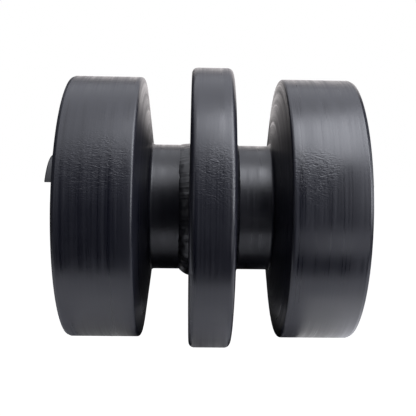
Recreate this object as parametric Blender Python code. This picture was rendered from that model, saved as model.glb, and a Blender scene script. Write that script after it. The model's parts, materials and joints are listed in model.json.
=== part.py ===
"""Track roller for a compact tracked loader: two forged wheels joined by a welded centre flange, turning on
a fixed shaft whose two end collars carry half-moon locating lugs.

Frame: +Y along the roller's axis towards its outboard end, +X the way the machine travels, +Z up, origin on
the axis halfway between the two wheels. Metres.

Almost every piece is turned, so each is drawn as an outline in (y, radius) and spun round +Y. Outlines are
drawn for the outboard end, and the inboard piece is the same outline mirrored."""

from math import cos, pi, radians, sin, tan

import bmesh
import bpy
from mathutils import Matrix, Vector

MM = 0.001

# ---- Driving dimensions ----------------------------------------------------------------------------
TREAD_DIAMETER = 215 * MM  # the two wide wheels, which roll on the track
FLANGE_DIAMETER = 232 * MM  # the centre flange, which runs between the track's two rows of guide lugs
BARREL_DIAMETER = 104 * MM  # the waist, which clears the guide lugs
SHELL_WIDTH = 226.5 * MM  # over the outer faces of both wheels
WHEEL_WIDTH = 57.15 * MM
FLANGE_WIDTH = 33.5 * MM
SHAFT_DIAMETER = 50 * MM
BOLT_HOLE_DIAMETER = 18 * MM  # an M20 thread, modelled plain
BOLT_HOLE_DEPTH = 40 * MM

GAP = 0.3 * MM  # between any two pieces that touch or fit
SHAFT_END_GAP = 0.3 * MM  # from the shaft's end to the underside of the lug

# ---- Wheels ----------------------------------------------------------------------------------------
INNER_FACE_DRAFT = 7.3 * MM  # the inner face leans this far towards the centre, from rim to barrel
OUTER_EDGE_CHAMFER = (2.4 * MM, 1.0 * MM)  # along the axis, and down from the tread
INNER_EDGE_RADIUS = 2.6 * MM
BARREL_FILLET = 3 * MM
RIM_THICKNESS = 18 * MM
WEB_THICKNESS = 37.2 * MM  # behind the forged dish in the outer face
DISH_DRAFT = 4 * MM
DISH_FILLET = 7 * MM
DISH_FILLET_LIMIT = 0.4  # of the width of the dish's flat floor
DISH_LIP_RADIUS = 2.5 * MM
BOSS_WALL = 10 * MM  # round the seal housing
SPIGOT_STEP = 6 * MM  # the barrel's end steps down by this much, to locate the centre flange
SPIGOT_CHAMFER = 1 * MM
OIL_SPACE = 4 * MM  # how far the oil cavity's wall stands outside the bushing's

# ---- Centre flange and its two welds ---------------------------------------------------------------
FLANGE_EDGE_RADIUS = 4.6 * MM
INBOARD_WELD_LEGS = (8.5 * MM, 4.6 * MM)  # along the barrel, up the flange
OUTBOARD_WELD_LEGS = (5.2 * MM, 4.0 * MM)
WELD_BULGE = 0.12  # how far a weld's face stands proud of flat, as a share of its width

# ---- Bushings --------------------------------------------------------------------------------------
BUSHING_WALL = 4.4 * MM
BUSHING_LENGTH = 42.3 * MM
BUSHING_FLANGE_THICKNESS = 4.7 * MM
BUSHING_FLANGE_WIDTH = 6.3 * MM  # outwards from the bushing's own outside
BUSHING_CHAMFER = 0.8 * MM

# ---- Face seals: two metal rings, face to face, each squeezed into its housing by a rubber toric ------
SEAL_DEPTH = 14 * MM  # the faces' plane, in from the wheel's outer face
SEAL_FACE_GAP = 0.15 * MM  # from the plane to each face
SEAL_RING_LENGTH = 7.85 * MM
SEAL_RING_WALL = 4.4 * MM
SEAL_RING_TAPER = 1.4 * MM
SEAL_LIP_THICKNESS = 3.45 * MM
SEAL_LIP_HEIGHT = 5.2 * MM
SEAL_TO_HUB = 0.6 * MM
TORIC_RADIUS = 3.4 * MM
TORIC_GAP = 0.4 * MM
TORIC_SEAT = 0.9 * MM  # from the radius of the ring's tail out to the toric
SEAL_LIP_CLEARANCE = 1.4 * MM

# ---- Collars ---------------------------------------------------------------------------------------
HUB_WALL = 5.1 * MM
CUP_WALL = 4.6 * MM
CUP_TO_WHEEL = 1.5 * MM  # the narrow gap that keeps mud out of the seal
CUP_FLOOR = 3.8 * MM
CUP_OVERLAP = 5 * MM  # how far the cup's mouth stands back from the faces' plane
BOSS_DIAMETER = 85 * MM
FRAME_SEAT_STAND = 8.75 * MM  # the seat for the track frame's rail stands this proud of the wheel
INBOARD_LUG_LENGTH = 10 * MM
OUTBOARD_LUG_LENGTH = 8 * MM
LUG_FLAT_HEIGHT = 19 * MM  # the lug's flat lies this far above the axis
COLLAR_CHAMFER = 1 * MM
LUG_CHAMFER = 1.2 * MM
PIN_DIAMETER = 5 * MM
PIN_SETBACK = 4 * MM  # the pin's axis, in from the frame seat
PIN_BITE = 3 * MM  # the pin's axis, in from the shaft's surface
PIN_RECESS = 0.8 * MM

# ---- Shaft -----------------------------------------------------------------------------------------
SHAFT_CHAMFER = 1.5 * MM
BOLT_MOUTH_CHAMFER = 1.2 * MM
DRILL_POINT_ANGLE = radians(118)
O_RING_SETBACK = 3 * MM  # the O-ring's groove, in from the faces' plane
O_RING_RADIUS = 1.2 * MM
O_RING_GROOVE_DEPTH = 2.7 * MM
O_RING_GROOVE_WIDTH = 4.4 * MM
PLUG_DIAMETER = 9.4 * MM
PLUG_LENGTH = 8 * MM
PLUG_RECESS = 0.6 * MM
PLUG_SOCKET_ACROSS_FLATS = 5 * MM
PLUG_SOCKET_DEPTH = 4.5 * MM
PLUG_OFFSET = 17.5 * MM  # below the axis
GALLERY_DIAMETER = 5 * MM
GALLERY_END = 20 * MM  # where the oil gallery turns out into the cavity

# ---- Facets ----------------------------------------------------------------------------------------
WHEEL_SEGMENTS = 48
INNER_SEGMENTS = 32
SMALL_SEGMENTS = 16
FILLET_STEPS = 2
TORIC_SIDES = 8
WELD_STEPS = 2

# ---- Places that several pieces share ---------------------------------------------------------------
tread_radius = TREAD_DIAMETER / 2
barrel_radius = BARREL_DIAMETER / 2
shaft_radius = SHAFT_DIAMETER / 2
boss_radius = BOSS_DIAMETER / 2
wheel_face = SHELL_WIDTH / 2
wheel_inner_rim = wheel_face - WHEEL_WIDTH
flange_face = FLANGE_WIDTH / 2
spigot_radius = barrel_radius - SPIGOT_STEP

running_radius = shaft_radius + GAP
bushing_outside = running_radius + BUSHING_WALL
bushing_bore = bushing_outside + GAP
bushing_flange_radius = bushing_outside + BUSHING_FLANGE_WIDTH
cavity_radius = bushing_bore + OIL_SPACE

hub_radius = running_radius + HUB_WALL
seal_plane = wheel_face - SEAL_DEPTH
seal_inside = hub_radius + SEAL_TO_HUB
seal_tail_radius = seal_inside + SEAL_RING_WALL
seal_lip_radius = seal_tail_radius + SEAL_RING_TAPER + SEAL_LIP_HEIGHT
toric_ring_radius = seal_tail_radius + TORIC_SEAT + TORIC_RADIUS
housing_radius = max(seal_lip_radius + SEAL_LIP_CLEARANCE, toric_ring_radius + TORIC_RADIUS + GAP)
toric_setback = SEAL_FACE_GAP + SEAL_LIP_THICKNESS + TORIC_GAP + TORIC_RADIUS
housing_floor_setback = toric_setback + TORIC_RADIUS + TORIC_GAP
cup_radius = housing_radius + CUP_WALL
seal_bore = cup_radius + CUP_TO_WHEEL

housing_floor = seal_plane - housing_floor_setback
bushing_shoulder = housing_floor - BUSHING_FLANGE_THICKNESS - GAP - 2 * TORIC_GAP
bushing_end = bushing_shoulder + GAP + BUSHING_FLANGE_THICKNESS
hub_end = bushing_end + GAP
cup_floor = seal_plane + housing_floor_setback
cup_back = cup_floor + CUP_FLOOR
frame_seat = wheel_face + FRAME_SEAT_STAND
lug_faces = {"outboard": frame_seat + OUTBOARD_LUG_LENGTH, "inboard": frame_seat + INBOARD_LUG_LENGTH}
shaft_end = frame_seat - SHAFT_END_GAP
pin_place = frame_seat - PIN_SETBACK
pin_height = shaft_radius - PIN_BITE

OUTBOARD, INBOARD = 1, -1
SIDES = (("outboard", OUTBOARD), ("inboard", INBOARD))


# ---- Outlines --------------------------------------------------------------------------------------
def rounded(corners, steps=FILLET_STEPS):
    """The points of a closed outline. A corner is (y, radius) or (y, radius, fillet)."""
    points = []
    for index, corner in enumerate(corners):
        here = Vector(corner[:2])
        if len(corner) == 2:
            points.append(here)
            continue
        before = (Vector(corners[index - 1][:2]) - here).normalized()
        after = (Vector(corners[(index + 1) % len(corners)][:2]) - here).normalized()
        half_angle = before.angle(after) / 2
        setback = corner[2] / tan(half_angle)
        centre = here + (before + after).normalized() * (corner[2] / sin(half_angle))
        first = here + before * setback - centre
        turn = pi - 2 * half_angle
        way = 1 if first.cross(here + after * setback - centre) > 0 else -1
        for step in range(steps + 1):
            angle = way * turn * step / steps
            points.append(centre + Matrix.Rotation(angle, 2) @ first)
    return points


def chamfered(corners, size):
    """The outline with each corner that is marked True cut at 45 degrees."""
    points = []
    for index, (y, radius, cut) in enumerate(corners):
        here = Vector((y, radius))
        if not cut:
            points.append(here)
            continue
        for other in (corners[index - 1], corners[(index + 1) % len(corners)]):
            points.append(here + (Vector(other[:2]) - here).normalized() * size)
    return points


def circle(y, radius, small_radius, sides):
    """A closed outline of a round section."""
    return [
        Vector((y + small_radius * cos(2 * pi * k / sides), radius + small_radius * sin(2 * pi * k / sides)))
        for k in range(sides)
    ]


# ---- Solids ----------------------------------------------------------------------------------------
def paint(name, colour, roughness, metallic):
    material = bpy.data.materials.new(name)
    material.use_nodes = True
    shader = material.node_tree.nodes["Principled BSDF"]
    shader.inputs["Base Color"].default_value = (*colour, 1)
    shader.inputs["Roughness"].default_value = roughness
    shader.inputs["Metallic"].default_value = metallic
    return material


def finished(name, mesh_data, material):
    """The object made from a bmesh, smooth but for its real edges."""
    bmesh.ops.remove_doubles(mesh_data, verts=mesh_data.verts, dist=1e-6)
    bmesh.ops.recalc_face_normals(mesh_data, faces=mesh_data.faces)
    mesh = bpy.data.meshes.new(name)
    mesh_data.to_mesh(mesh)
    mesh_data.free()
    mesh.shade_smooth()
    mesh.set_sharp_from_angle(angle=radians(30))
    made = bpy.data.objects.new(name, mesh)
    bpy.context.scene.collection.objects.link(made)
    if material:
        made.data.materials.append(material)
    return made


def turned(name, outline, material, side=OUTBOARD, segments=INNER_SEGMENTS):
    """A closed outline of (y, radius) points, spun round +Y. Points on the axis may start and end it."""
    data = bmesh.new()
    ring = [data.verts.new((0, side * point[0], point[1])) for point in outline]
    edges = [data.edges.new((ring[k - 1], ring[k])) for k in range(len(ring))]
    bmesh.ops.spin(
        data, geom=ring + edges, cent=(0, 0, 0), axis=(0, 1, 0), angle=2 * pi, steps=segments, use_merge=True
    )
    on_axis = [face for face in data.faces if face.calc_area() < 1e-12]
    bmesh.ops.delete(data, geom=on_axis, context="FACES")
    loose = [edge for edge in data.edges if not edge.link_faces]
    bmesh.ops.delete(data, geom=loose, context="EDGES")
    return finished(name, data, material)


def as_cutter(made):
    made.hide_render = True
    made.display_type = "WIRE"
    return made


def rod(name, radius, start, end, segments=SMALL_SEGMENTS, material=None):
    """A plain round bar between two points."""
    start, end = Vector(start), Vector(end)
    data = bmesh.new()
    place = Matrix.Translation((start + end) / 2) @ (end - start).to_track_quat("Z", "Y").to_matrix().to_4x4()
    bmesh.ops.create_cone(
        data, cap_ends=True, segments=segments, radius1=radius, radius2=radius,
        depth=(end - start).length, matrix=place,
    )
    return finished(name, data, material)


def block(name, low, high):
    """A box between two corners."""
    low, high = Vector(low), Vector(high)
    data = bmesh.new()
    size = Matrix.Diagonal((*(high - low), 1))
    bmesh.ops.create_cube(data, size=1, matrix=Matrix.Translation((low + high) / 2) @ size)
    return finished(name, data, None)


def cut(piece, cutter):
    modifier = piece.modifiers.new(cutter.name, "BOOLEAN")
    modifier.operation = "DIFFERENCE"
    modifier.solver = "EXACT"
    modifier.object = as_cutter(cutter)


# ---- Pieces that turn ------------------------------------------------------------------------------
def wheel(name, side, material):
    """A forged wheel with half the barrel. It holds the bushing and the turning half of the face seal."""
    dish_floor = wheel_inner_rim + WEB_THICKNESS
    dish_outside = tread_radius - RIM_THICKNESS
    dish_inside = seal_bore + BOSS_WALL
    floor_width = dish_outside - dish_inside - 2 * DISH_DRAFT
    dish_fillet = min(DISH_FILLET, DISH_FILLET_LIMIT * floor_width)
    barrel_start = wheel_inner_rim - INNER_FACE_DRAFT
    outline = rounded([
        (GAP / 2, cavity_radius),
        (bushing_shoulder - BUSHING_LENGTH - GAP, cavity_radius),
        (bushing_shoulder - BUSHING_LENGTH - GAP, bushing_bore),
        (bushing_shoulder, bushing_bore),
        (bushing_shoulder, bushing_flange_radius + GAP),
        (housing_floor, bushing_flange_radius + GAP),
        (housing_floor, housing_radius),
        (seal_plane - CUP_TO_WHEEL, housing_radius),
        (seal_plane - CUP_TO_WHEEL, seal_bore),
        (wheel_face, seal_bore, COLLAR_CHAMFER),
        (wheel_face, dish_inside, DISH_LIP_RADIUS),
        (dish_floor, dish_inside + DISH_DRAFT, dish_fillet),
        (dish_floor, dish_outside - DISH_DRAFT, dish_fillet),
        (wheel_face, dish_outside, DISH_LIP_RADIUS),
        (wheel_face, tread_radius - OUTER_EDGE_CHAMFER[1]),
        (wheel_face - OUTER_EDGE_CHAMFER[0], tread_radius),
        (wheel_inner_rim, tread_radius, INNER_EDGE_RADIUS),
        (barrel_start, barrel_radius, BARREL_FILLET),
        (flange_face + GAP, barrel_radius),
        (flange_face + GAP, spigot_radius),
        (GAP / 2 + SPIGOT_CHAMFER, spigot_radius),
        (GAP / 2, spigot_radius - SPIGOT_CHAMFER),
    ])
    return turned(name, outline, material, side, WHEEL_SEGMENTS)


def centre_flange(material):
    """The ring that both barrels' spigots enter, and that the two welds join to them."""
    outline = rounded([
        (-flange_face, spigot_radius + GAP),
        (flange_face, spigot_radius + GAP),
        (flange_face, FLANGE_DIAMETER / 2, FLANGE_EDGE_RADIUS),
        (-flange_face, FLANGE_DIAMETER / 2, FLANGE_EDGE_RADIUS),
    ])
    return turned("centre_flange", outline, material, OUTBOARD, WHEEL_SEGMENTS)


def weld(name, side, legs, material):
    """A fillet weld all round, in the corner of the barrel and the centre flange."""
    corner = Vector((flange_face + GAP, barrel_radius + GAP))
    along, up = Vector((legs[0], 0)), Vector((0, legs[1]))
    face = up - along
    proud = Vector((legs[1], legs[0])).normalized() * (face.length * WELD_BULGE)
    outline = [corner]
    for step in range(WELD_STEPS + 1):
        share = step / WELD_STEPS
        outline.append(corner + along + face * share + proud * sin(pi * share))
    return turned(name, outline, material, side, WHEEL_SEGMENTS)


def bushing(name, side, material):
    """A flanged bushing, pressed into the wheel. Its flange takes the side load from the collar's hub."""
    start = bushing_shoulder - BUSHING_LENGTH
    outline = chamfered([
        (start, running_radius, False),
        (start, bushing_outside, True),
        (bushing_shoulder + GAP, bushing_outside, False),
        (bushing_shoulder + GAP, bushing_flange_radius, False),
        (bushing_end, bushing_flange_radius, True),
        (bushing_end, running_radius, False),
    ], BUSHING_CHAMFER)
    return turned(name, outline, material, side)


def seal_ring_outline(facing):
    """A seal ring's section. Facing 1 looks out along the axis, from the wheel; -1 looks back at it."""
    def at(setback):
        return seal_plane - facing * (SEAL_FACE_GAP + setback)

    return [
        Vector((at(SEAL_RING_LENGTH), seal_inside)),
        Vector((at(0), seal_inside)),
        Vector((at(0), seal_lip_radius)),
        Vector((at(SEAL_LIP_THICKNESS), seal_lip_radius)),
        Vector((at(SEAL_LIP_THICKNESS), seal_tail_radius + SEAL_RING_TAPER)),
        Vector((at(SEAL_RING_LENGTH), seal_tail_radius)),
    ]


def seal_toric_outline(facing):
    return circle(seal_plane - facing * toric_setback, toric_ring_radius, TORIC_RADIUS, TORIC_SIDES)


# ---- Pieces that stay with the track frame ------------------------------------------------------------
def shaft(material):
    """The fixed shaft: bolt holes in both ends, O-ring grooves, pin notches, and an oil gallery."""
    bolt_radius = BOLT_HOLE_DIAMETER / 2
    bolt_floor = shaft_end - BOLT_HOLE_DEPTH
    point = bolt_radius / tan(DRILL_POINT_ANGLE / 2)
    groove = seal_plane - O_RING_SETBACK
    groove_floor = shaft_radius - O_RING_GROOVE_DEPTH
    half = [
        (bolt_floor - point, 0),
        (bolt_floor, bolt_radius),
        (shaft_end - BOLT_MOUTH_CHAMFER, bolt_radius),
        (shaft_end, bolt_radius + BOLT_MOUTH_CHAMFER),
        (shaft_end, shaft_radius - SHAFT_CHAMFER),
        (shaft_end - SHAFT_CHAMFER, shaft_radius),
        (groove + O_RING_GROOVE_WIDTH / 2, shaft_radius),
        (groove + O_RING_GROOVE_WIDTH / 2, groove_floor),
        (groove - O_RING_GROOVE_WIDTH / 2, groove_floor),
        (groove - O_RING_GROOVE_WIDTH / 2, shaft_radius),
    ]
    outline = half + [(-y, radius) for y, radius in reversed(half)]
    made = turned("shaft", outline, material)
    for end, side in SIDES:
        cut(made, pin_hole(f"shaft_pin_notch_{end}", side))
    plug_hole_floor = shaft_end - PLUG_RECESS - PLUG_LENGTH - GAP
    beyond = shaft_end + PLUG_LENGTH
    cut(made, rod("plug_hole", PLUG_DIAMETER / 2 + GAP, (0, plug_hole_floor, -PLUG_OFFSET), (0, beyond, -PLUG_OFFSET)))
    cut(made, rod("gallery", GALLERY_DIAMETER / 2, (0, GALLERY_END, -PLUG_OFFSET), (0, beyond, -PLUG_OFFSET)))
    turn_out = (0, GALLERY_END + GALLERY_DIAMETER / 2)
    cut(made, rod("gallery_turn", GALLERY_DIAMETER / 2, (*turn_out, -PLUG_OFFSET), (*turn_out, -2 * shaft_radius)))
    return made


def pin_hole(name, side):
    """The cutter for a cross pin's hole, which passes through the collar and notches the shaft."""
    reach = boss_radius + GAP
    y = side * pin_place
    return rod(name, PIN_DIAMETER / 2 + GAP, (-reach, y, pin_height), (reach, y, pin_height))


def collar(name, side, lug_face, material):
    """The end collar: hub, seal cup, frame seat and half-moon lug in one piece."""
    outline = rounded([
        (hub_end, running_radius),
        (hub_end, hub_radius),
        (cup_floor, hub_radius),
        (cup_floor, housing_radius),
        (seal_plane + CUP_OVERLAP, housing_radius),
        (seal_plane + CUP_OVERLAP, cup_radius),
        (cup_back, cup_radius, COLLAR_CHAMFER),
        (cup_back, boss_radius, COLLAR_CHAMFER),
        (lug_face, boss_radius, LUG_CHAMFER),
        (lug_face, 0),
        (frame_seat, 0),
        (frame_seat, running_radius),
    ], steps=1)
    made = turned(name, outline, material, side)
    wide = 2 * boss_radius
    ends = sorted((side * frame_seat, side * (lug_face + FRAME_SEAT_STAND)))
    cut(made, block(f"{name}_below_lug", (-wide, ends[0], -wide), (wide, ends[1], LUG_FLAT_HEIGHT)))
    cut(made, pin_hole(f"{name}_pin_hole", side))
    return made


def collar_pin(name, side, material):
    """The cross pin that locks a collar to the shaft."""
    half_chord = (boss_radius**2 - pin_height**2) ** 0.5 - PIN_RECESS
    y = side * pin_place
    ends = (-half_chord, y, pin_height), (half_chord, y, pin_height)
    return rod(name, PIN_DIAMETER / 2, *ends, material=material)


def oil_plug(material):
    """A taper plug with a hexagon socket, below the bolt hole in the outboard end."""
    face = shaft_end - PLUG_RECESS
    back = face - PLUG_LENGTH
    made = rod(
        "oil_plug", PLUG_DIAMETER / 2, (0, back, -PLUG_OFFSET), (0, face, -PLUG_OFFSET), material=material
    )
    socket_radius = PLUG_SOCKET_ACROSS_FLATS / 2 / cos(pi / 6)
    ends = (0, face - PLUG_SOCKET_DEPTH, -PLUG_OFFSET), (0, face + PLUG_LENGTH, -PLUG_OFFSET)
    cut(made, rod("plug_socket", socket_radius, *ends, segments=6))
    return made


def build():
    for old in list(bpy.data.objects):
        bpy.data.objects.remove(old)

    black_paint = paint("black_paint", (0.020, 0.021, 0.024), 0.38, 0.0)
    painted_weld = paint("painted_weld", (0.016, 0.017, 0.019), 0.35, 0.0)
    ground_steel = paint("ground_steel", (0.52, 0.52, 0.50), 0.25, 1.0)
    hard_steel = paint("hard_steel", (0.42, 0.43, 0.44), 0.2, 1.0)
    bronze = paint("bronze", (0.62, 0.42, 0.22), 0.35, 1.0)
    rubber = paint("rubber", (0.02, 0.02, 0.02), 0.7, 0.0)

    centre_flange(black_paint)
    weld("weld_outboard", OUTBOARD, OUTBOARD_WELD_LEGS, painted_weld)
    weld("weld_inboard", INBOARD, INBOARD_WELD_LEGS, painted_weld)
    shaft(ground_steel)
    oil_plug(hard_steel)
    o_ring_place = seal_plane - O_RING_SETBACK
    o_ring_radius = running_radius - GAP - O_RING_RADIUS
    for end, side in SIDES:
        wheel(f"wheel_{end}", side, black_paint)
        bushing(f"bushing_{end}", side, bronze)
        turned(f"turning_seal_ring_{end}", seal_ring_outline(1), hard_steel, side)
        turned(f"turning_seal_toric_{end}", seal_toric_outline(1), rubber, side)
        turned(f"fixed_seal_ring_{end}", seal_ring_outline(-1), hard_steel, side)
        turned(f"fixed_seal_toric_{end}", seal_toric_outline(-1), rubber, side)
        turned(f"shaft_o_ring_{end}", circle(o_ring_place, o_ring_radius, O_RING_RADIUS, TORIC_SIDES), rubber, side)
        collar(f"collar_{end}", side, lug_faces[end], black_paint)
        collar_pin(f"collar_pin_{end}", side, hard_steel)


build()
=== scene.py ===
# %% [markdown]
# # A track roller, from its CAD solids to a finished picture
# A bottom roller carries a compact tracked loader on its rubber track. Two wide wheels roll on the track,
# and a larger flange between them keeps it in line. In this lesson we load the engineering model as a
# fixed frame, then dress it: fine turned surfaces, uneven weld beads, threads, and paint made of nodes.

# %% Load the frame
import json
from math import atan2, cos, pi, radians, sin, tan

import bmesh
import bpy
from mathutils import Matrix, Vector, noise

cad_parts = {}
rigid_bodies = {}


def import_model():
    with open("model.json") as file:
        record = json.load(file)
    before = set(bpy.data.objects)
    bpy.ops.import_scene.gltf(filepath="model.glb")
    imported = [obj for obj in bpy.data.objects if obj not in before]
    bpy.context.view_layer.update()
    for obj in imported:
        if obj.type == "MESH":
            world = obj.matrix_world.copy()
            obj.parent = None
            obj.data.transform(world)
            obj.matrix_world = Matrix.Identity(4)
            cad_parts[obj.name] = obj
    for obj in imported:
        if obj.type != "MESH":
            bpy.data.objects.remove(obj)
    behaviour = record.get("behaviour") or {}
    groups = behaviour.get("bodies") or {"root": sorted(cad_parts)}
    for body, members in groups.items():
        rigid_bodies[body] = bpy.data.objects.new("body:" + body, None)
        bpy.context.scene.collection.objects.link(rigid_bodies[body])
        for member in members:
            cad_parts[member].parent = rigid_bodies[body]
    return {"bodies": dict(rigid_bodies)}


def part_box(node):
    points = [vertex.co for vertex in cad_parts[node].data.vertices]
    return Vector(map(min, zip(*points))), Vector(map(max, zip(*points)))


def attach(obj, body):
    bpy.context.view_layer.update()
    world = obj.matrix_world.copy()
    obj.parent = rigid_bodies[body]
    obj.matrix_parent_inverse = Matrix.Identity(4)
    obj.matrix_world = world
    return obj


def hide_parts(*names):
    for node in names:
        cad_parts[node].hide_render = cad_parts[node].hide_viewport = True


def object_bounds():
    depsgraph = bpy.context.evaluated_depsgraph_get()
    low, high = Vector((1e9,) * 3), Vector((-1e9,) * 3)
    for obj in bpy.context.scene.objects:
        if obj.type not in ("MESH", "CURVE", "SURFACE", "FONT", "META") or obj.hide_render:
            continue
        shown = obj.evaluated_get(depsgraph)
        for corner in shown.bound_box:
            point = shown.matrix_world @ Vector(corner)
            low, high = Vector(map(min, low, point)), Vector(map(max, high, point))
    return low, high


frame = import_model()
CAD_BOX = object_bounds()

MM = 0.001
print("bodies:", ", ".join(frame["bodies"]))
print("CAD size in mm:", [round(side / MM) for side in CAD_BOX[1] - CAD_BOX[0]])

# %% [markdown]
# ## The camera
# The roller is seen straight from the side, a little left of its middle and a little above its axis, from
# about 0.6 m. That is close for an object this wide, so each wheel shows the curve of its edge. The lens
# is a short telephoto. The camera looks almost level, and a small shift of the lens, instead of a tilt,
# brings the roller to the middle of the frame.

# %% Camera
camera_data = bpy.data.cameras.new("camera")
camera_data.sensor_width = 36
camera_data.lens = 62.5
camera_data.shift_x, camera_data.shift_y = -0.0274, -0.0527
camera_data.clip_start = 0.01
camera = bpy.data.objects.new("camera", camera_data)
bpy.context.scene.collection.objects.link(camera)
CAMERA_PLACE = (0.6101, -0.01116, 0.02054)
YAW, PITCH, ROLL = -0.0304, -0.0046, -0.0145  # radians
aim = Matrix.Rotation(pi / 2 + YAW, 3, "Z") @ Matrix.Rotation(PITCH, 3, "X") @ Matrix.Rotation(ROLL, 3, "Y")
upright = Matrix.Rotation(pi / 2, 3, "X")
camera.matrix_world = Matrix.Translation(CAMERA_PLACE) @ (aim @ upright).to_4x4()
bpy.context.scene.camera = camera
print("camera looks along", [round(c, 3) for c in -camera.matrix_world.col[2].xyz])

# %% [markdown]
# ## The studio
# Black gloss shows its surroundings more than itself, so the studio is most of the look. The camera sees
# a plain white floor. What the roller reflects is a white table just under it, which dims in the roller's
# own shadow, between two black cards that leave the mid height dark. Lights hang above, the stronger one
# over the outboard side. A tall strip further round draws a thin line down each edge that faces it, and a
# wide box behind lights the faces between the wheels. The room is nearly black to the roller and white to
# the camera, which sees none of the cards and lights, so any other view stays clean.
#
# The table alone would light the barrel as much as the treads. So a narrow black card lies under each gap
# beside the flange, and a faintly glowing bounce sheet lies under each wheel and under the flange. One
# more, the low glow, lies in front of the outboard wheel. All of them are flat and lie on the floor.


# %% Floor and cards
def sheet(name, low, high, height, colour, glow):
    """A level rectangle that belongs to the studio, not to the roller."""
    mesh = bpy.data.meshes.new(name)
    corners = [(low[0], low[1]), (high[0], low[1]), (high[0], high[1]), (low[0], high[1])]
    mesh.from_pydata([(x, y, height) for x, y in corners], [], [(0, 1, 2, 3)])
    made = bpy.data.objects.new(name, mesh)
    bpy.context.scene.collection.objects.link(made)
    material = bpy.data.materials.new(name)
    material.use_nodes = True
    shader = material.node_tree.nodes["Principled BSDF"]
    shader.inputs["Base Color"].default_value = (*colour, 1)
    shader.inputs["Roughness"].default_value = 0.9
    shader.inputs["Specular IOR Level"].default_value = 0.0
    shader.inputs["Emission Color"].default_value = (1, 1, 1, 1)
    shader.inputs["Emission Strength"].default_value = glow
    mesh.materials.append(material)
    return made


FLOOR_HALF, TABLE_HALF = 30.0, 4.0
LIT_BACK, LIT_FRONT = -0.13, 0.146  # where the white table ends and the black cards begin
WHITE, TABLE_GREY, DARK = (0.9, 0.9, 0.9), (0.80, 0.80, 0.83), (0.02, 0.02, 0.02)
GAP_FRONT, GAP_NEAR, GAP_FAR = 0.035, 0.0165, 0.0565  # the card's front end and sides, under each gap
BOUNCE_REACH = 0.1  # how far a bounce sheet reaches in front of the axis and behind it
FLOOR_GLOW = 1.05
CARDS = (  # name, (back, inboard) corner, (front, outboard) corner, mm over the floor, colour, glow
    ("table", (LIT_BACK, -TABLE_HALF), (LIT_FRONT, TABLE_HALF), 0.1, TABLE_GREY, 0.0),
    ("front_card", (LIT_FRONT, -TABLE_HALF), (TABLE_HALF, TABLE_HALF), 0.1, DARK, 0.0),
    ("back_card", (-TABLE_HALF, -TABLE_HALF), (LIT_BACK, TABLE_HALF), 0.1, DARK, 0.0),
    ("gap_card_inboard", (LIT_BACK, -GAP_FAR), (GAP_FRONT, -GAP_NEAR), 0.15, DARK, 0.0),
    ("gap_card_outboard", (LIT_BACK, GAP_NEAR), (GAP_FRONT, GAP_FAR), 0.15, DARK, 0.0),
    ("bounce_inboard", (-BOUNCE_REACH, -0.107), (BOUNCE_REACH, -0.063), 0.15, TABLE_GREY, 0.28),
    ("bounce_middle", (-BOUNCE_REACH, -0.017), (BOUNCE_REACH, 0.017), 0.15, TABLE_GREY, 0.2),
    ("bounce_outboard", (-BOUNCE_REACH, 0.074), (BOUNCE_REACH, 0.150), 0.15, TABLE_GREY, 0.8),
    ("low_glow", (0.22, 0.08), (0.45, 0.30), 0.15, TABLE_GREY, 0.14),
)
floor_z = CAD_BOX[0].z - 0.2 * MM
floor = sheet("floor", (-FLOOR_HALF, -FLOOR_HALF), (FLOOR_HALF, FLOOR_HALF), floor_z, WHITE, FLOOR_GLOW)
floor.visible_diffuse = floor.visible_glossy = floor.visible_shadow = False
for name, low, high, lift, colour, glow in CARDS:
    sheet(name, low, high, floor_z + lift * MM, colour, glow).visible_camera = False
print("floor at", round(floor_z / MM, 1), "mm with", len(CARDS), "hidden cards")


# %% Lights
def soft_box(name, place, target, size, brightness, colour):
    """A rectangular light that faces a target. Its power follows from how bright its face is to look."""
    data = bpy.data.lights.new(name, "AREA")
    data.shape = "RECTANGLE"
    data.size, data.size_y = size
    data.energy = brightness * pi * size[0] * size[1]
    data.color = colour
    light = bpy.data.objects.new(name, data)
    bpy.context.scene.collection.objects.link(light)
    light.location = place
    light.rotation_euler = (Vector(target) - Vector(place)).to_track_quat("-Z", "Y").to_euler()
    light.visible_camera = False


COOL, WARM = (0.96, 0.98, 1.06), (1.0, 0.95, 0.95)
LIGHTS = (  # name, place, target, (width, height), brightness, colour
    ("overhead", (0.1, -0.1, 1.1), (0, -0.1, 0), (1.4, 2.2), 1.55, COOL),
    ("outboard_top", (0.48, 0.42, 1.0), (0, 0.1, 0), (0.85, 0.8), 6.5, COOL),
    ("outboard_front", (1.3, 0.9, 0.3), (0, 0, 0), (1.1, 1.2), 1.5, COOL),
    ("side_strip", (0.96, 1.15, 0.35), (0, 0, 0), (0.42, 1.9), 11.0, COOL),
    ("inboard_strip", (1.2, -0.85, 0.1), (0, 0, 0), (0.3, 1.4), 1.2, COOL),
    ("behind", (-1.5, 0.45, 0.72), (0, 0, 0), (1.9, 1.0), 1.6, WARM),
)
for light in LIGHTS:
    soft_box(*light)

DIM_ROOM, WHITE_ROOM = (0.025, 0.025, 0.028, 1), (1.0, 1.0, 1.0, 1)  # what the roller sees, what we see
world = bpy.data.worlds.new("studio")
world.use_nodes = True
bpy.context.scene.world = world
path = world.node_tree.nodes.new("ShaderNodeLightPath")
seen = world.node_tree.nodes.new("ShaderNodeMix")
seen.data_type = "RGBA"
seen.inputs[6].default_value, seen.inputs[7].default_value = DIM_ROOM, WHITE_ROOM
world.node_tree.links.new(path.outputs["Is Camera Ray"], seen.inputs[0])
world.node_tree.links.new(seen.outputs[2], world.node_tree.nodes["Background"].inputs["Color"])
bpy.context.scene.view_settings.view_transform = "Standard"
print("studio ready with", len(LIGHTS), "lights")

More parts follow.
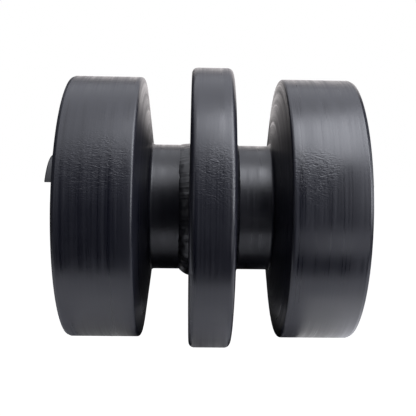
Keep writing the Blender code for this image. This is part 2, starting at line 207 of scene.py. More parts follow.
# %% [markdown]
# ## Shader maths in Python
# A material is a graph of nodes. Writing `1 - mask * 0.4` is easier to read than four lines of links, so
# a small class wraps one output of a node, and each operator on it adds the Math node that does the sum.
# A second class holds a whole material and adds its other nodes, such as noise, colour mixes and bumps.


# %% Wires
class Wire:
    """One output of a node. Python's operators on it add Math nodes."""

    def __init__(self, finish, socket):
        self.finish, self.socket = finish, socket

    def maths(self, operation, *values, clamp=False):
        settings = {"operation": operation, "use_clamp": clamp}
        return self.finish.node("ShaderNodeMath", settings, dict(enumerate(values)))

    def __add__(self, other):
        return self.maths("ADD", self, other)

    def __mul__(self, other):
        return self.maths("MULTIPLY", self, other)

    __radd__, __rmul__ = __add__, __mul__

    def __sub__(self, other):
        return self.maths("SUBTRACT", self, other)

    def __rsub__(self, other):
        return self.maths("SUBTRACT", other, self)

    def __truediv__(self, other):
        return self.maths("DIVIDE", self, other)

    def __pow__(self, other):
        return self.maths("POWER", self, other)

    def clipped(self):
        """The value, kept between 0 and 1."""
        return self.maths("ADD", self, 0, clamp=True)

    def band(self, low, high):
        """0 below low, 1 above high, and a smooth step between."""
        sockets = {"Value": self, "From Min": low, "From Max": high}
        return self.finish.node("ShaderNodeMapRange", {"interpolation_type": "SMOOTHSTEP"}, sockets)


print("a wire knows", ", ".join(name for name in vars(Wire) if name[0] != "_"))


# %% Finishes
class Finish:
    """A material whose nodes are added one at a time. Uniform values go straight onto the shader."""

    def __init__(self, name, **uniform):
        self.material = bpy.data.materials.new(name)
        self.material.use_nodes = True
        self.tree = self.material.node_tree
        self.shader = self.tree.nodes["Principled BSDF"]
        for socket, value in uniform.items():
            self.shader.inputs[socket.replace("_", " ")].default_value = value

    def join(self, socket, value):
        if isinstance(value, Wire):
            self.tree.links.new(value.socket, socket)
        else:
            socket.default_value = value

    def node(self, kind, settings=None, sockets=None, output=0):
        made = self.tree.nodes.new(kind)
        for key, value in (settings or {}).items():
            setattr(made, key, value)
        for key, value in (sockets or {}).items():
            self.join(made.inputs[key], value)
        return Wire(self, made.outputs[output])

    def set(self, **varying):
        for socket, value in varying.items():
            self.join(self.shader.inputs[socket.replace("_", " ")], value)

    def place(self):
        """The point on the piece, and its x, y and z, in metres."""
        point = self.node("ShaderNodeTexCoord", output="Object")
        return point, *(self.node("ShaderNodeSeparateXYZ", {}, {0: point}, axis) for axis in (0, 1, 2))

    def grain(self, point, scale, detail=2, roughness=0.5, distortion=0.0):
        sockets = {"Vector": point, "Scale": scale, "Detail": detail, "Roughness": roughness,
                   "Distortion": distortion}
        return self.node("ShaderNodeTexNoise", {}, sockets)

    def mixed(self, share, first, second):
        """A colour between two others."""
        return self.node("ShaderNodeMix", {"data_type": "RGBA"}, {0: share, 6: first, 7: second}, 2)

    def round_the_axis(self, x, y, z, stretch=1.5):
        """A point that changes quickly across a turned surface and slowly round it, as tool marks do."""
        radius = (x * x + z * z) ** 0.5
        round_x, round_z = x / radius * (stretch * MM), z / radius * (stretch * MM)
        return self.node("ShaderNodeCombineXYZ", {}, {0: round_x, 1: y + radius, 2: round_z})

    def bumps(self, *layers):
        """Bump nodes one behind the other. Each layer is (height from 0 to 1, its depth in metres)."""
        normal = None
        for height, depth in layers:
            sockets = {"Height": height, "Distance": depth, "Strength": 1.0}
            if normal:
                sockets["Normal"] = normal
            normal = self.node("ShaderNodeBump", {}, sockets)
        self.set(Normal=normal)


print("a finish knows", ", ".join(name for name in vars(Finish) if name[0] != "_"))

# %% [markdown]
# ## Satin black paint
# The roller is sprayed black over turned steel. The turning marks show through the thin paint as fine
# rings, and where the coat went on thick it dried into a leathery wrinkle. So the paint has three
# reliefs: fine orange peel all over, rings that run round the axis, and wrinkles inside a few patches,
# drawn out along the axis. The same rings make the paint a little paler and duller in streaks. All of it
# is made from the position on the piece, so it turns with the wheel.

# %% Satin black paint
PAINT_THICK, PAINT_THIN = (0.0010, 0.0012, 0.0040, 1), (0.0085, 0.0088, 0.0130, 1)
FINE_RINGS, BROAD_RINGS, CLOUDS, ORANGE_PEEL, WRINKLES = 900, 160, 22, 620, 500  # noise cells in a metre
FINE_STREAK, BROAD_STREAK = 1.4, 1.6
PEEL_DEPTH, RING_DEPTH, WRINKLE_DEPTH = 0.010 * MM, 0.018 * MM, 0.25 * MM
WRINKLE_STRETCH = (1, 0.38, 1)
TREAD_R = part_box("wheel_outboard")[1].z
WRINKLE_SPOTS = (  # (angle above the front in degrees, y in mm, radius in mm)
    (16, -84, 34), (12, 3, 30), (14, 70, 26),
    (138, -92, 30), (151, -2, 26), (129, 88, 34),
    (262, -76, 30), (255, 4, 30), (268, 80, 30),
)


def wrinkle_mask(x, y, z):
    """1 inside any of the round spots on the treads, 0 well outside them."""
    total = None
    for angle, along, size in WRINKLE_SPOTS:
        centre = (TREAD_R * cos(radians(angle)), along * MM, TREAD_R * sin(radians(angle)))
        off = [(axis - middle) * (axis - middle) for axis, middle in zip((x, y, z), centre)]
        far = (off[0] + off[1] + off[2]) ** 0.5
        near = 1 - far.band(0.45 * size * MM, 1.1 * size * MM)
        total = near if total is None else total.maths("MAXIMUM", total, near)
    return total


def satin_black(name, wrinkled=True):
    finish = Finish(name, IOR=1.5, Specular_IOR_Level=0.5)
    point, x, y, z = finish.place()
    ringed = finish.round_the_axis(x, y, z)
    rings = finish.grain(ringed, FINE_RINGS, 3, 0.6)
    broad_rings = finish.grain(ringed, BROAD_RINGS, 2, 0.5)
    clouds = finish.grain(point, CLOUDS, 3, 0.6)
    peel = finish.grain(point, ORANGE_PEEL, 2, 0.45)
    streak = (rings - 0.5) * FINE_STREAK + (broad_rings - 0.5) * BROAD_STREAK
    finish.set(
        Base_Color=finish.mixed((streak + clouds).clipped(), PAINT_THICK, PAINT_THIN),
        Roughness=0.35 + streak * 0.20 + (clouds - 0.5) * 0.10,
    )
    layers = [(peel, PEEL_DEPTH), (rings, RING_DEPTH)]
    if wrinkled:
        stretched = {0: point, 1: WRINKLE_STRETCH}
        drawn_out = finish.node("ShaderNodeVectorMath", {"operation": "MULTIPLY"}, stretched)
        wrinkles = finish.grain(drawn_out, WRINKLES, 1.5, 0.5, 1.8)
        layers.append((wrinkles * wrinkle_mask(x, y, z), WRINKLE_DEPTH))
    finish.bumps(*layers)
    return finish.material


wheel_paint = satin_black("wheel_paint")
collar_paint = satin_black("collar_paint", wrinkled=False)
for paint in (wheel_paint, collar_paint):
    print(paint.name, "has", len(paint.node_tree.nodes), "nodes")

# %% [markdown]
# ## Bare metals and rubber
# Inside the roller nothing is painted. The shaft is ground, so its marks run round the axis like the
# paint's rings but finer. The seal rings are hard cast iron with the shallowest marks of all. The
# bushings are bronze, and the torics and O-rings are black nitrile rubber with a faint dusty bloom.


# %% Bare finishes
def turned_metal(name, colour, dark, roughness, ring_depth):
    finish = Finish(name, Metallic=1.0)
    point, x, y, z = finish.place()
    ringed = finish.round_the_axis(x, y, z, 4)
    rings = finish.grain(ringed, 1600, 3, 0.6)
    clouds = finish.grain(point, 60, 3, 0.6)
    finish.set(
        Base_Color=finish.mixed((rings * 0.5 + clouds * 0.7).clipped(), dark, colour),
        Roughness=roughness + (rings - 0.5) * 0.12 + (clouds - 0.5) * 0.15,
    )
    finish.bumps((rings, ring_depth))
    return finish.material


def nitrile_rubber():
    finish = Finish("nitrile_rubber", Specular_IOR_Level=0.4)
    point, *_ = finish.place()
    bloom = finish.grain(point, 90, 4, 0.6)
    finish.set(
        Base_Color=finish.mixed(bloom.band(0.4, 0.75), (0.012, 0.012, 0.013, 1), (0.034, 0.033, 0.032, 1)),
        Roughness=0.55 + bloom * 0.2,
    )
    finish.bumps((finish.grain(point, 1500, 2, 0.5), 0.01 * MM))
    return finish.material


ground_steel = turned_metal("ground_steel", (0.56, 0.56, 0.55, 1), (0.40, 0.40, 0.40, 1), 0.26, 0.004 * MM)
seal_iron = turned_metal("seal_iron", (0.44, 0.44, 0.45, 1), (0.30, 0.30, 0.31, 1), 0.22, 0.002 * MM)
bronze = turned_metal("bearing_bronze", (0.66, 0.44, 0.23, 1), (0.48, 0.30, 0.15, 1), 0.32, 0.006 * MM)
rubber = nitrile_rubber()
print("bare finishes:", ground_steel.name, seal_iron.name, bronze.name, rubber.name)

# %% [markdown]
# ## Turning on a lathe
# Nearly every piece here is round, so each is an outline swept round the +Y axis. The Screw modifier
# could do that, but building the rings ourselves lets us bend single rows as they go round, which threads
# and weld beads need. Fillets are part of the outline, because a thin highlight on an edge needs a real
# curve.


# %% Outlines and the lathe
def rounded(corners, steps):
    """A closed outline's points. A corner is (y, radius) or (y, radius, fillet)."""
    points = []
    for index, corner in enumerate(corners):
        here = Vector(corner[:2])
        if len(corner) == 2:
            points.append(here)
            continue
        before = (Vector(corners[index - 1][:2]) - here).normalized()
        after = (Vector(corners[(index + 1) % len(corners)][:2]) - here).normalized()
        half = before.angle(after) / 2
        centre = here + (before + after).normalized() * (corner[2] / sin(half))
        first = here + before * (corner[2] / tan(half)) - centre
        last = here + after * (corner[2] / tan(half)) - centre
        turn = (pi - 2 * half) * (1 if first.cross(last) > 0 else -1)
        points += [centre + Matrix.Rotation(turn * k / steps, 2) @ first for k in range(steps + 1)]
    return points


SHARP_ANGLE = 35  # degrees: a steeper bend than this stays a crisp edge


def piece(name, data, body, slot, *materials, sharp=SHARP_ANGLE):
    """Turns a bmesh into a smooth object that rides on a body."""
    bmesh.ops.recalc_face_normals(data, faces=data.faces)
    mesh = bpy.data.meshes.new(name)
    data.to_mesh(mesh)
    data.free()
    mesh.shade_smooth()
    mesh.set_sharp_from_angle(angle=radians(sharp))
    for material in materials:
        mesh.materials.append(material)
    made = bpy.data.objects.new(name, mesh)
    bpy.context.scene.collection.objects.link(made)
    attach(made, body)
    return made


TINY = 1e-7  # metres: what lies closer than this is in the same place


def sweep(outline, side, segments, bend=None):
    """The outline swept round +Y. bend(row, y, radius, angle) may move a point to (y, radius)."""
    data = bmesh.new()
    rows = []
    for row, (y, radius) in enumerate(outline):
        if radius < TINY:
            rows.append([data.verts.new((0, side * y, 0))] * segments)
            continue
        ring = []
        for k in range(segments):
            angle = 2 * pi * k / segments
            here = bend(row, y, radius, angle) if bend else (y, radius)
            ring.append(data.verts.new((here[1] * cos(angle), side * here[0], here[1] * sin(angle))))
        rows.append(ring)
    open_ended = outline[0][1] < TINY and outline[-1][1] < TINY
    for a, b in zip(rows, rows[1:] if open_ended else rows[1:] + rows[:1]):
        for k in range(segments):
            corners = (a[k], a[(k + 1) % segments], b[(k + 1) % segments], b[k])
            once = list(dict.fromkeys(corners))
            if len(once) > 2:
                data.faces.new(once)
    return data


print("lathe ready")

# %% [markdown]
# ## Wheels
# Each wheel is a forging with half of the barrel in one piece. Its tread is turned flat with a small
# outer chamfer and a rounded inner edge, the inner face leans towards the barrel, and the outer face
# keeps its forged dish round the seal housing. The sizes are the CAD model's own; only the fillets get
# more steps here.

# %% Wheels
WHEEL_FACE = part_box("wheel_outboard")[1].y
WHEEL_WIDTH, INNER_FACE_DRAFT = 57.15 * MM, 7.3 * MM
WHEEL_INNER = WHEEL_FACE - WHEEL_WIDTH
BARREL_R, SPIGOT_R, CAVITY_R = 52 * MM, 46 * MM, 34 * MM
FLANGE_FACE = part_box("centre_flange")[1].y
GAP = 0.3 * MM  # between pieces that don't touch
SEAL_BORE_R, HOUSING_R, BUSH_BORE_R, BUSH_POCKET_R = 49.5 * MM, 43.4 * MM, 30 * MM, 36.3 * MM
HOUSING_DEPTH = 11.2 * MM  # from the plane where the two seal rings meet, to either side
SEAL_PLANE = WHEEL_FACE - 14 * MM
SEAL_STEP = SEAL_PLANE - 1.5 * MM
HOUSING_FLOOR = SEAL_PLANE - HOUSING_DEPTH
BUSH_SHOULDER = HOUSING_FLOOR - 5.8 * MM
BUSH_START = BUSH_SHOULDER - 42.6 * MM
DISH_FLOOR, DISH_OUT_R, DISH_IN_R, DISH_DRAFT = WHEEL_INNER + 37.2 * MM, 89.5 * MM, 59.5 * MM, 4 * MM
DISH_RIM_FILLET, DISH_FLOOR_FILLET, BARREL_FILLET = 2.5 * MM, 7 * MM, 3 * MM
OUTER_CHAMFER_DEPTH, OUTER_CHAMFER_RISE, OUTER_CHAMFER_FILLET = 2.4 * MM, 1.0 * MM, 1.2 * MM
INNER_EDGE_R, SPIGOT_CHAMFER = 2.6 * MM, 1 * MM
WHEEL_SEGMENTS, WHEEL_FILLET_STEPS = 288, 9
ENDS = (("outboard", 1), ("inboard", -1))
PAINT_LAP = 0.5 * MM  # how far paint reaches into the seal's bore

wheel_outline = rounded([
    (GAP / 2, CAVITY_R), (BUSH_START, CAVITY_R, 1 * MM), (BUSH_START, BUSH_BORE_R, 0.6 * MM),
    (BUSH_SHOULDER, BUSH_BORE_R, 0.6 * MM), (BUSH_SHOULDER, BUSH_POCKET_R, 0.4 * MM),
    (HOUSING_FLOOR, BUSH_POCKET_R, 0.6 * MM), (HOUSING_FLOOR, HOUSING_R, 0.9 * MM),
    (SEAL_STEP, HOUSING_R, 0.8 * MM), (SEAL_STEP, SEAL_BORE_R, 0.8 * MM),
    (WHEEL_FACE, SEAL_BORE_R, 1 * MM), (WHEEL_FACE, DISH_IN_R, DISH_RIM_FILLET),
    (DISH_FLOOR, DISH_IN_R + DISH_DRAFT, DISH_FLOOR_FILLET),
    (DISH_FLOOR, DISH_OUT_R - DISH_DRAFT, DISH_FLOOR_FILLET), (WHEEL_FACE, DISH_OUT_R, DISH_RIM_FILLET),
    (WHEEL_FACE, TREAD_R - OUTER_CHAMFER_RISE, 0.5 * MM),
    (WHEEL_FACE - OUTER_CHAMFER_DEPTH, TREAD_R, OUTER_CHAMFER_FILLET), (WHEEL_INNER, TREAD_R, INNER_EDGE_R),
    (WHEEL_INNER - INNER_FACE_DRAFT, BARREL_R, BARREL_FILLET), (FLANGE_FACE + GAP, BARREL_R),
    (FLANGE_FACE + GAP, SPIGOT_R), (GAP / 2 + SPIGOT_CHAMFER, SPIGOT_R),
    (GAP / 2, SPIGOT_R - SPIGOT_CHAMFER),
], WHEEL_FILLET_STEPS)


def bare_inside(made, limit):
    """Faces closer to the axis than the limit take the second finish, because they are never painted."""
    for face in made.data.polygons:
        if Vector((face.center.x, face.center.z)).length < limit:
            face.material_index = 1


for end, side in ENDS:
    swept = sweep(wheel_outline, side, WHEEL_SEGMENTS)
    wheel = piece(f"painted_wheel_{end}", swept, "roller", "paint", wheel_paint, ground_steel)
    bare_inside(wheel, SEAL_BORE_R - PAINT_LAP)
    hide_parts(f"wheel_{end}")
print("wheel outline has", len(wheel_outline), "points; tread radius", round(TREAD_R / MM, 2), "mm")

# %% [markdown]
# ## The centre flange
# A plain turned ring with generous edge rounding, because it rubs along the guide lugs of the track.
# Handling left a few small nicks on its inboard edge. They are cut into the mesh as shallow dents, since
# a dent in the outline catches light as the real one does.

# %% Centre flange
FLANGE_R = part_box("centre_flange")[1].z
FLANGE_EDGE_R = 4.6 * MM
FLANGE_SEGMENTS, FLANGE_FILLET_STEPS = 720, 12
NICK_INSET, NICK_ZONE = 2 * MM, 9 * MM  # from the flange's inboard face, and in from its rim
NICKS = (  # (angle in degrees, depth, half width), the last two in mm
    (-22, 0.5, 1.6), (-27, 0.35, 1.1), (-45, 0.45, 1.5),
    (70, 0.4, 1.3), (168, 0.5, 1.8), (231, 0.4, 1.4),
)
flange_outline = rounded([
    (-FLANGE_FACE, SPIGOT_R + GAP), (FLANGE_FACE, SPIGOT_R + GAP),
    (FLANGE_FACE, FLANGE_R, FLANGE_EDGE_R), (-FLANGE_FACE, FLANGE_R, FLANGE_EDGE_R),
], FLANGE_FILLET_STEPS)


def nicked(row, y, radius, angle):
    """Presses the nicks into the inboard rounding."""
    for where, depth, width in NICKS:
        off = (angle - radians(where) + pi) % (2 * pi) - pi
        reach = Vector((off * FLANGE_R, y + FLANGE_FACE - NICK_INSET)).length / (width * MM)
        if reach < 1 and radius > FLANGE_R - NICK_ZONE:
            radius -= depth * MM * (1 - reach * reach) ** 2
    return y, radius


swept = sweep(flange_outline, 1, FLANGE_SEGMENTS, nicked)
flange = piece("painted_centre_flange", swept, "roller", "paint", wheel_paint)
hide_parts("centre_flange")
print("centre flange radius", round(FLANGE_R / MM, 1), "mm with", len(NICKS), "nicks")

# %% [markdown]
# ## Weld beads
# A fillet weld runs all round where each barrel meets the flange. A weld is laid as a string of
# overlapping drops, so its legs wander, and here and there it stands proud. The inboard bead is wide and
# nearly smooth and grows towards its lower side, and the outboard one is narrow, with clear ripples. We
# sweep a bead outline with many points round the axis and let every row breathe with slow noises and the
# ripples.

# %% Weld beads
BEAD_SEGMENTS, BEAD_STEPS, BEAD_SHARP_ANGLE = 1080, 16, 60
RIPPLE_PITCH = 1.9 * MM
RIPPLE_COUNT = round(2 * pi * BARREL_R / RIPPLE_PITCH)
RIPPLE_LAG, RIPPLE_WANDER = 1.1, 0.25  # how far a ripple curves back, and how unevenly ripples follow
SLOW_NOISE, LUMP_NOISE, LEG_NOISE = 6, 11, 21  # noise cells in the ring's radius
HEIGHT_WANDER, LEG_WANDER, LEG_SHAKE = 0.18, 0.07, 0.04  # shares of the bead's own size
BULGE, LUMP_DEPTH, LUMP_DRIFT = 0.20, 0.35 * MM, 1.7
CROWN_POWER, GROWTH_POWER = 0.6, 0.8  # below 1: fuller at the sides, and growing sooner
ROUGHENING = (0.8, 2.1, 4)  # how each layer of the slow noise weakens and gets finer, and the layers


def bead(name, side, leg, low_height, high_height, ripple, seed, node):
    """A weld whose height on the flange grows from low_height at the top to high_height at the bottom."""
    corner_y, corner_r = FLANGE_FACE + GAP, BARREL_R + 0.02 * MM
    outline = [Vector((corner_y, corner_r))] * (BEAD_STEPS + 2)

    def laid(row, y, radius, angle):
        if row == 0:
            return y, radius
        share = (row - 1) / BEAD_STEPS
        ring = Vector((cos(angle), sin(angle), seed))
        wander = noise.fractal(ring * SLOW_NOISE, *ROUGHENING)
        lump = noise.noise(ring * LUMP_NOISE + Vector((0, 0, share * LUMP_DRIFT)))
        low_down = (1 - sin(angle)) / 2
        height = low_height + (high_height - low_height) * low_down ** GROWTH_POWER
        height *= 1 + HEIGHT_WANDER * wander
        reach = leg * (1 + LEG_WANDER * wander + LEG_SHAKE * noise.noise(ring * LEG_NOISE))
        lag = RIPPLE_LAG * (share - 0.5) ** 2 + RIPPLE_WANDER * wander
        wave = abs(sin(pi * (angle / (2 * pi) * RIPPLE_COUNT + lag)))
        crown = sin(pi * share) ** CROWN_POWER
        proud = (BULGE * min(reach, height) + ripple * (wave - 0.5) + LUMP_DEPTH * lump) * crown
        along, up = reach * (1 - share), height * share
        slope = Vector((height, reach)).normalized()
        return y + along + proud * slope.x, radius + up + proud * slope.y

    swept = sweep(outline, side, BEAD_SEGMENTS, laid)
    made = piece(name, swept, "roller", "painted_weld", bead_paint, sharp=BEAD_SHARP_ANGLE)
    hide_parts(node)
    return made


BEAD_DARK, BEAD_PALE = (0.0020, 0.0022, 0.0040, 1), (0.0085, 0.0088, 0.0110, 1)


def bead_finish():
    """Paint over a weld: blotchy instead of ringed."""
    finish = Finish("bead_paint", Specular_IOR_Level=0.5)
    point, *_ = finish.place()
    soot = finish.grain(point, 180, 4, 0.6)
    finish.set(
        Base_Color=finish.mixed(soot, BEAD_DARK, BEAD_PALE),
        Roughness=0.34 + (soot - 0.5) * 0.3,
    )
    finish.bumps((finish.grain(point, 500, 2, 0.5), 0.02 * MM))
    return finish.material


bead_paint = bead_finish()
inboard_bead = bead("bead_inboard", -1, 8.3 * MM, 1.2 * MM, 4.6 * MM, 0.012 * MM, 3.1, "weld_inboard")
outboard_bead = bead("bead_outboard", 1, 5.2 * MM, 2.8 * MM, 3.6 * MM, 0.35 * MM, 8.4, "weld_outboard")
print("beads have", len(inboard_bead.data.polygons), "and", len(outboard_bead.data.polygons), "faces")

# %% [markdown]
# ## Shaft
# The shaft never turns: it is clamped between the track frame's rails by a bolt in each end. The bolt
# holes are M20 threads with a 2.5 mm pitch. A thread is a groove that moves one pitch along for each turn
# round, so on our swept mesh it is enough to let the radius of a row depend on its place plus its angle.

# %% Shaft
SHAFT_R, SHAFT_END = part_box("shaft")[1].z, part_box("shaft")[1].y
THREAD_PITCH, THREAD_MINOR_R, THREAD_DEPTH = 2.5 * MM, 8.7 * MM, 1.25 * MM
THREAD_LENGTH, THREAD_FADE, HOLE_LENGTH, MOUTH_CHAMFER = 34 * MM, 2 * MM, 40 * MM, 1.5 * MM
O_RING_PLACE, GROOVE_HALF, GROOVE_FLOOR_R = SEAL_PLANE - 3 * MM, 2.2 * MM, 22.3 * MM
FRAME_SEAT = SHAFT_END + GAP
PIN_R, PIN_PLACE, PIN_HEIGHT = 2.5 * MM, FRAME_SEAT - 4 * MM, 22 * MM
SLIDING_FIT = 0.05 * MM
PLUG_R, PLUG_DROP, PLUG_RECESS, PLUG_LENGTH = 4.7 * MM, 17.5 * MM, 0.6 * MM, 8 * MM
SHAFT_CHAMFER, SHAFT_SEGMENTS, THREAD_ROWS = 1.5 * MM, 144, 136
THREAD_FLAT, THREAD_SLOPE = 0.2, 0.6  # shares of a thread's profile
THREAD_SHARP_ANGLE = 30
DRILL_TIP_ANGLE = 59  # degrees, half of a drill's point
print("shaft radius", round(SHAFT_R / MM, 1), "mm, half length", round(SHAFT_END / MM, 1), "mm")

# %% The shaft's outline
thread_start = SHAFT_END - MOUTH_CHAMFER
hole_floor = SHAFT_END - HOLE_LENGTH
drill_point = hole_floor - THREAD_MINOR_R / tan(radians(DRILL_TIP_ANGLE))
half_shaft = [(drill_point, 0), (hole_floor, THREAD_MINOR_R)]
thread_rows = range(len(half_shaft), len(half_shaft) + THREAD_ROWS + 1)
thread_places = [thread_start - THREAD_LENGTH * (1 - k / THREAD_ROWS) for k in range(THREAD_ROWS + 1)]
half_shaft += [(place, THREAD_MINOR_R) for place in thread_places]
half_shaft += [(SHAFT_END, THREAD_MINOR_R + THREAD_DEPTH + MOUTH_CHAMFER)]
half_shaft += [(SHAFT_END, SHAFT_R - SHAFT_CHAMFER), (SHAFT_END - SHAFT_CHAMFER, SHAFT_R)]
half_shaft += [(O_RING_PLACE + GROOVE_HALF, SHAFT_R), (O_RING_PLACE + GROOVE_HALF, GROOVE_FLOOR_R),
               (O_RING_PLACE - GROOVE_HALF, GROOVE_FLOOR_R), (O_RING_PLACE - GROOVE_HALF, SHAFT_R)]
shaft_outline = half_shaft + [(-y, radius) for y, radius in reversed(half_shaft)]
print("shaft outline has", len(shaft_outline), "points")


# %% The thread
def threaded(row, y, radius, angle):
    """A trapezium thread on the rows of both bolt holes. It fades out over its last 2 mm, at the bottom."""
    mirrored = len(shaft_outline) - 1 - row
    if row not in thread_rows and mirrored not in thread_rows:
        return y, radius
    along = thread_start - abs(y)
    turn = (along / THREAD_PITCH + (angle if y > 0 else -angle) / (2 * pi)) % 1
    tooth = min(max((abs(turn - 0.5) * 2 - THREAD_FLAT) / THREAD_SLOPE, 0), 1)
    fade = min(1, (THREAD_LENGTH - along) / THREAD_FADE)
    return y, radius + THREAD_DEPTH * tooth * max(fade, 0)


swept = sweep(shaft_outline, 1, SHAFT_SEGMENTS, threaded)
shaft = piece("ground_shaft", swept, "axle", "ground_steel", ground_steel, sharp=THREAD_SHARP_ANGLE)
print("threaded shaft has", len(shaft.data.polygons), "faces")

# %% [markdown]
# ## Holes across the shaft
# Each collar's pin crosses the shaft in a notch along its top, and oil is filled through a hole below the
# outboard bolt, which turns down into the cavity. These holes don't run round the axis, so the sweep can't
# make them. Each is a round bar that the Boolean modifier takes away from the finished piece.


# %% Bars and cuts
def rod(radius, start, end, segments=48, chamfer=0.0):
    """A bmesh of a round bar between two points, its ends chamfered if asked."""
    start, end = Vector(start), Vector(end)
    length = (end - start).length
    outline = [(0, 0), (0, radius - chamfer), (chamfer, radius), (length - chamfer, radius),
               (length, radius - chamfer), (length, 0)]
    if not chamfer:
        outline = [(0, 0), (0, radius), (length, radius), (length, 0)]
    data = sweep(outline, 1, segments)
    turn = (end - start).to_track_quat("Y", "Z").to_matrix().to_4x4()
    bmesh.ops.transform(data, matrix=Matrix.Translation(start) @ turn, verts=data.verts)
    return data


def cut(target, name, data):
    """Cuts a shape out of a piece and throws the cutter away."""
    bmesh.ops.recalc_face_normals(data, faces=data.faces)
    mesh = bpy.data.meshes.new(name)
    data.to_mesh(mesh)
    data.free()
    cutter = bpy.data.objects.new(name, mesh)
    bpy.context.scene.collection.objects.link(cutter)
    modifier = target.modifiers.new(name, "BOOLEAN")
    modifier.operation, modifier.solver, modifier.object = "DIFFERENCE", "EXACT", cutter
    bpy.context.view_layer.update()
    shaped = bpy.data.meshes.new_from_object(target.evaluated_get(bpy.context.evaluated_depsgraph_get()))
    target.modifiers.clear()
    target.data = shaped
    bpy.data.objects.remove(cutter)
    shaped.set_sharp_from_angle(angle=radians(SHARP_ANGLE))


print("bars and cuts ready")

# %% Holes in the shaft
PIN_REACH, GALLERY_R, GALLERY_END, GALLERY_TURN = 43 * MM, 2.5 * MM, 20 * MM, 22.5 * MM
OVERRUN, OVERLAP = 5 * MM, 1 * MM  # how far a cutter passes an open end, and into another hole
plug_hole_floor = SHAFT_END - PLUG_RECESS - PLUG_LENGTH - GAP


def across(place):
    """The two ends of a line across the roller at a cross pin's height."""
    return (-PIN_REACH, place, PIN_HEIGHT), (PIN_REACH, place, PIN_HEIGHT)


def below(place, drop=PLUG_DROP):
    """A point straight below the axis."""
    return (0, place, -drop)


for side in (1, -1):
    cut(shaft, "pin_notch", rod(PIN_R + GAP, *across(side * PIN_PLACE)))
cut(shaft, "plug_hole", rod(PLUG_R + SLIDING_FIT, below(plug_hole_floor), below(SHAFT_END + OVERRUN)))
cut(shaft, "gallery", rod(GALLERY_R, below(GALLERY_END), below(plug_hole_floor + OVERLAP)))
cut(shaft, "gallery_turn", rod(GALLERY_R, below(GALLERY_TURN), below(GALLERY_TURN, 2 * SHAFT_R)))
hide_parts("shaft")
print("shaft", round(2 * SHAFT_END / MM, 1), "mm long,", len(shaft.data.polygons), "faces")

# %% [markdown]
# ## Collars
# A collar closes each end of the roller. Its cup holds the fixed half of the face seal, its round face is
# clamped against the frame's rail, and the half-moon lug beyond it fits a step in the rail, whose edge
# meets the lug's flat, so that the shaft can't turn. It is one forging, machined and then painted. The lug
# isn't round, so it is a second mesh: half a disc's outline, pushed out to a block and rounded at its end.

# %% Collars
LUG_FLAT, LUG_FOOT, LUG_STEPS, LUG_BEVEL, LUG_BEVEL_STEPS = 19 * MM, 0.5 * MM, 96, 1.0 * MM, 3
COLLAR_SEGMENTS, COLLAR_FILLET_STEPS = 192, 5
BARE_MARGIN = 1 * MM  # beyond the hub, which is machined and not painted
BOSS_R, CUP_R, HUB_R = 42.5 * MM, 48 * MM, 30.4 * MM
HUB_END = BUSH_SHOULDER + 5.3 * MM
CUP_FLOOR = SEAL_PLANE + HOUSING_DEPTH
CUP_MOUTH = SEAL_PLANE + 5 * MM
CUP_BACK = CUP_FLOOR + 3.8 * MM
BORE_R = SHAFT_R + GAP
collar_outline = rounded([
    (HUB_END, BORE_R), (HUB_END, HUB_R, 0.8 * MM), (CUP_FLOOR, HUB_R, 0.8 * MM),
    (CUP_FLOOR, HOUSING_R, 0.9 * MM), (CUP_MOUTH, HOUSING_R, 0.6 * MM),
    (CUP_MOUTH, CUP_R, 0.6 * MM), (CUP_BACK, CUP_R, 1 * MM), (CUP_BACK, BOSS_R, 1 * MM),
    (FRAME_SEAT, BOSS_R, 0.8 * MM), (FRAME_SEAT, BORE_R, 0.5 * MM),
], COLLAR_FILLET_STEPS)


def half_moon(side, lug_face):
    """A bmesh of the lug: a segment of a disc with its flat below, the edges of its end rounded."""
    data = bmesh.new()
    low_angle = atan2(LUG_FLAT, (BOSS_R**2 - LUG_FLAT**2) ** 0.5)
    rim = [low_angle + (pi - 2 * low_angle) * k / LUG_STEPS for k in range(LUG_STEPS + 1)]
    foot, face = side * (FRAME_SEAT - LUG_FOOT), side * lug_face
    corners = [data.verts.new((BOSS_R * cos(a), foot, BOSS_R * sin(a))) for a in rim]
    disc = data.faces.new(corners)
    grown = bmesh.ops.extrude_face_region(data, geom=[disc])
    moved = [v for v in grown["geom"] if isinstance(v, bmesh.types.BMVert)]
    bmesh.ops.translate(data, vec=(0, face - foot, 0), verts=moved)
    outer = [e for e in data.edges if all(abs(v.co.y - face) < TINY for v in e.verts)]
    bmesh.ops.bevel(
        data, geom=outer, offset=LUG_BEVEL, segments=LUG_BEVEL_STEPS, profile=0.5, affect="EDGES"
    )
    return data


for end, side in ENDS:
    swept = sweep(collar_outline, side, COLLAR_SEGMENTS)
    collar = piece(f"painted_collar_{end}", swept, "axle", "paint", collar_paint, ground_steel)
    bare_inside(collar, HUB_R + BARE_MARGIN)
    cut(collar, "pin_hole", rod(PIN_R + SLIDING_FIT, *across(side * PIN_PLACE)))
    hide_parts(f"collar_{end}")
    lug_face = max(abs(corner.y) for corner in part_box(f"collar_{end}"))
    lug = piece(f"half_moon_lug_{end}", half_moon(side, lug_face), "axle", "paint", collar_paint)
    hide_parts(f"collar_{end}")
    print(end, "lug from", round(FRAME_SEAT / MM, 1), "to", round(lug_face / MM, 1), "mm")

# %% [markdown]
# ## Pins and the oil plug
# A cross pin locks each collar to the shaft through the notch along the shaft's top. The filler plug sits
# below the outboard bolt, a set screw with a hexagon socket: a short turned body with a six-sided pocket.

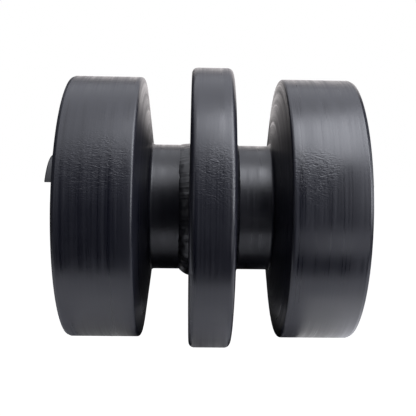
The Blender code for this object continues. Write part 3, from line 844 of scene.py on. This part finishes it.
# %% Pins and plug
PIN_RECESS, PIN_CHAMFER, PLUG_SEGMENTS, HEXAGON = 0.8 * MM, 0.5 * MM, 64, 6
SOCKET_R, SOCKET_DEPTH = 2.5 * MM / cos(pi / 6), 4.5 * MM
half_chord = (BOSS_R**2 - PIN_HEIGHT**2) ** 0.5 - PIN_RECESS
for end, side in ENDS:
    pin_ends = (-half_chord, side * PIN_PLACE, PIN_HEIGHT), (half_chord, side * PIN_PLACE, PIN_HEIGHT)
    bar = rod(PIN_R, *pin_ends, chamfer=PIN_CHAMFER)
    pin = piece(f"cross_pin_{end}", bar, "axle", "hard_steel", seal_iron)
    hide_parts(f"collar_pin_{end}")

plug_face = SHAFT_END - PLUG_RECESS
bar = rod(PLUG_R, below(plug_face - PLUG_LENGTH), below(plug_face), PLUG_SEGMENTS, PIN_CHAMFER)
plug = piece("socket_plug", bar, "axle", "hard_steel", seal_iron)
cut(plug, "socket", rod(SOCKET_R, below(plug_face - SOCKET_DEPTH), below(plug_face + OVERRUN), HEXAGON))
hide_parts("oil_plug")
print("pins", round(2 * half_chord / MM, 1), "mm long")

# %% [markdown]
# ## Bushings and seals
# These are hidden once the roller is shut, yet they are what makes it a roller. A flanged bronze bushing
# runs on the shaft at each end. Outside it sits a face seal: two hard iron rings, lapped face to face,
# each pushed on by a rubber ring on its sloping back, so that no mud gets in and no oil gets out.

# %% Bushings and seals
INNER_FILLET_STEPS, INNER_SEGMENTS = 4, 128
bushing_outline = rounded([
    (BUSH_START + GAP, BORE_R, 0.4 * MM), (BUSH_START + GAP, BUSH_BORE_R - GAP, 1.2 * MM),
    (BUSH_SHOULDER + GAP, BUSH_BORE_R - GAP, 0.4 * MM), (BUSH_SHOULDER + GAP, BUSH_POCKET_R - GAP, 0.4 * MM),
    (HUB_END - GAP, BUSH_POCKET_R - GAP, 0.8 * MM), (HUB_END - GAP, BORE_R, 0.6 * MM),
], INNER_FILLET_STEPS)
FACE_STANDOFF = 0.15  # mm from each ring's face to the plane between them
SEAL_CORNERS = (  # (distance behind the face, radius, fillet), all in mm
    (7.85, 31.0, 0.5), (0, 31.0, 0.3), (0, 42.0, 0.5),
    (3.45, 42.0, 0.8), (3.45, 36.8, 1.2), (7.85, 35.4, 0.8),
)


def seal_outline(facing):
    """Facing 1 is the ring that turns with the wheel, -1 the one that stays with the collar."""
    def corner(setback, radius, fillet):
        return SEAL_PLANE - facing * (FACE_STANDOFF + setback) * MM, radius * MM, fillet * MM

    return rounded([corner(*numbers) for numbers in SEAL_CORNERS], INNER_FILLET_STEPS)


print("seal outline has", len(seal_outline(1)), "points")


# %% Rubber rings and the inner pieces
def round_section(y, radius, small, sides):
    """The outline of a rubber ring: a small circle round the point (y, radius)."""
    turns = [2 * pi * k / sides for k in range(sides)]
    return [(y + small * cos(turn), radius + small * sin(turn)) for turn in turns]


TORIC_SETBACK, TORIC_RING_R, TORIC_R, TORIC_SIDES = 7.4 * MM, 39.7 * MM, 3.4 * MM, 20
O_RING_RING_R, O_RING_R, O_RING_SIDES = 23.8 * MM, 1.2 * MM, 16
toric_turning = round_section(SEAL_PLANE - TORIC_SETBACK, TORIC_RING_R, TORIC_R, TORIC_SIDES)
toric_fixed = round_section(SEAL_PLANE + TORIC_SETBACK, TORIC_RING_R, TORIC_R, TORIC_SIDES)
o_ring = round_section(O_RING_PLACE, O_RING_RING_R, O_RING_R, O_RING_SIDES)
INNER_PIECES = (  # name, outline, body, slot, material, the CAD node that it replaces
    ("bronze_bushing", bushing_outline, "roller", "bronze", bronze, "bushing"),
    ("lapped_ring_turning", seal_outline(1), "roller", "hard_steel", seal_iron, "turning_seal_ring"),
    ("lapped_ring_fixed", seal_outline(-1), "axle", "hard_steel", seal_iron, "fixed_seal_ring"),
    ("toric_turning", toric_turning, "roller", "rubber", rubber, "turning_seal_toric"),
    ("toric_fixed", toric_fixed, "axle", "rubber", rubber, "fixed_seal_toric"),
    ("o_ring", o_ring, "axle", "rubber", rubber, "shaft_o_ring"),
)
for end, side in ENDS:
    for name, outline, body, slot, material, node in INNER_PIECES:
        made = piece(f"{name}_{end}", sweep(outline, side, INNER_SEGMENTS), body, slot, material)
        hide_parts(f"{node}_{end}")
print("inner pieces made for both ends")
